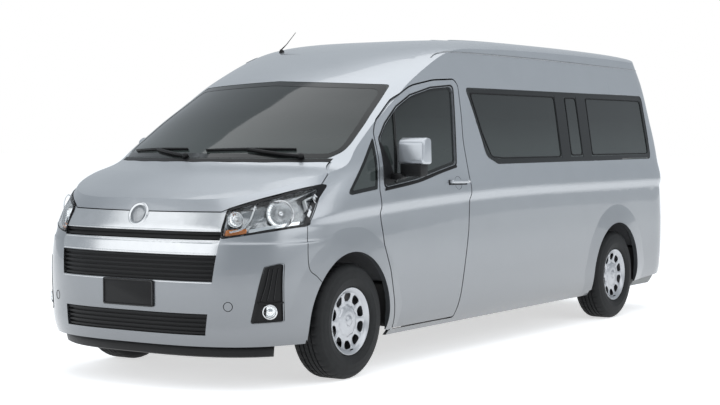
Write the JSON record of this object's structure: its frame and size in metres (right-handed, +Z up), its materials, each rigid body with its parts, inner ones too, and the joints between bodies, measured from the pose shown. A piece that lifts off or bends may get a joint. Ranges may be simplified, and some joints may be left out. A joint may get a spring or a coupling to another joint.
{
  "type": "minibus",
  "caption": "Long high-roof passenger minibus with opening doors, bonnet and tailgate, steered front wheels and rolling rear wheels.",
  "frame": {"origin": "on the ground, at the middle of the overall length and width", "axes": "+Y towards the tail, +X towards the vehicle's left side, +Z up"},
  "size_m": [2.34, 5.8906, 2.1899],
  "materials": {
    "paint": "metallic silver paint, satin gloss",
    "bright_trim": "satin bright trim",
    "black_plastic": "black grained plastic",
    "lamp_bowl": "bright lamp reflector",
    "clear_lens": "clear lamp cover",
    "red_lens": "red tail lamp",
    "window_glass": "green-grey tinted glass",
    "lining": "light grey trim panel",
    "floor": "dark grey floor covering",
    "chassis": "black chassis paint",
    "cast": "grey cast metal",
    "seat_fabric": "dark woven seat fabric",
    "dash": "dark dashboard plastic",
    "wheel_cover": "silver wheel cover",
    "tyre": "black rubber"
  },
  "bodies": {
    "root": {"roof_panel": "paint", "bumper_front": "paint", "grille_trim": "bright_trim", "grille_slats": "black_plastic", "bumper_rear": "paint", "tail_lamps": "red_lens", "headlamps": "lamp_bowl", "lamp_lenses": "clear_lens", "fog_lamps": "black_plastic", "fender_left": "paint", "fender_right": "paint", "cab_side_left": "paint", "cab_side_right": "paint", "side_panel_left": "paint", "side_panel_right": "paint", "sliding_door": "paint", "fixed_glass": "window_glass", "cowl": "black_plastic", "lining_left": "lining", "lining_right": "lining", "roof_lining": "lining", "floor_pan": "floor", "wheelhouses_front": "floor", "wheelhouses_rear": "floor", "engine_block": "cast", "front_suspension": "chassis", "rear_axle": "chassis", "underbody": "chassis", "seats_cab": "seat_fabric", "seats_left": "seat_fabric", "seats_right": "seat_fabric", "seat_bench": "seat_fabric", "dashboard": "dash", "steering_wheel": "dash"},
    "bonnet": {"bonnet": "paint"},
    "tailgate": {"tailgate": "paint", "tailgate_glass": "window_glass"},
    "door_left": {"door_left": "paint", "door_glass_left": "window_glass", "mirror_left": "paint"},
    "door_right": {"door_right": "paint", "door_glass_right": "window_glass", "mirror_right": "paint"},
    "knuckle_left": {"knuckle_left": "cast"},
    "knuckle_right": {"knuckle_right": "cast"},
    "wheel_front_left": {"wheel_front_left": "wheel_cover", "tyre_front_left": "tyre"},
    "wheel_front_right": {"wheel_front_right": "wheel_cover", "tyre_front_right": "tyre"},
    "wheel_rear_left": {"wheel_rear_left": "wheel_cover", "tyre_rear_left": "tyre"},
    "wheel_rear_right": {"wheel_rear_right": "wheel_cover", "tyre_rear_right": "tyre"}
  },
  "joints": [
    {"name": "door_left_hinge", "type": "hinge", "parent": "root", "child": "door_left", "pos_m": [0.972, -1.71, 0.9], "axis": [0, 0, -1], "range_deg": [0, 66]},
    {"name": "door_right_hinge", "type": "hinge", "parent": "root", "child": "door_right", "pos_m": [-0.972, -1.71, 0.9], "axis": [0, 0, 1], "range_deg": [0, 66]},
    {"name": "bonnet_hinge", "type": "hinge", "parent": "root", "child": "bonnet", "pos_m": [0, -2.055, 1.318], "axis": [-1, 0, 0], "range_deg": [0, 48]},
    {"name": "tailgate_hinge", "type": "hinge", "parent": "root", "child": "tailgate", "pos_m": [0, 2.72, 2.05], "axis": [1, 0, 0], "range_deg": [0, 85]},
    {"name": "steer_left", "type": "hinge", "parent": "root", "child": "knuckle_left", "pos_m": [0.755, -2, 0.352], "axis": [0, 0, 1], "range_deg": [-33, 33]},
    {"name": "steer_right", "type": "hinge", "parent": "root", "child": "knuckle_right", "pos_m": [-0.755, -2, 0.352], "axis": [0, 0, 1], "range_deg": [-33, 33]},
    {"name": "spin_front_left", "type": "hinge", "parent": "knuckle_left", "child": "wheel_front_left", "pos_m": [0.836, -2, 0.352], "axis": [1, 0, 0], "continuous": true},
    {"name": "spin_front_right", "type": "hinge", "parent": "knuckle_right", "child": "wheel_front_right", "pos_m": [-0.836, -2, 0.352], "axis": [1, 0, 0], "continuous": true},
    {"name": "spin_rear_left", "type": "hinge", "parent": "root", "child": "wheel_rear_left", "pos_m": [0.836, 1.86, 0.352], "axis": [1, 0, 0], "continuous": true},
    {"name": "spin_rear_right", "type": "hinge", "parent": "root", "child": "wheel_rear_right", "pos_m": [-0.836, 1.86, 0.352], "axis": [1, 0, 0], "continuous": true}
  ],
  "couplings": [
    {"joint": "steer_right", "follows": "steer_left", "ratio": 1}
  ]
}
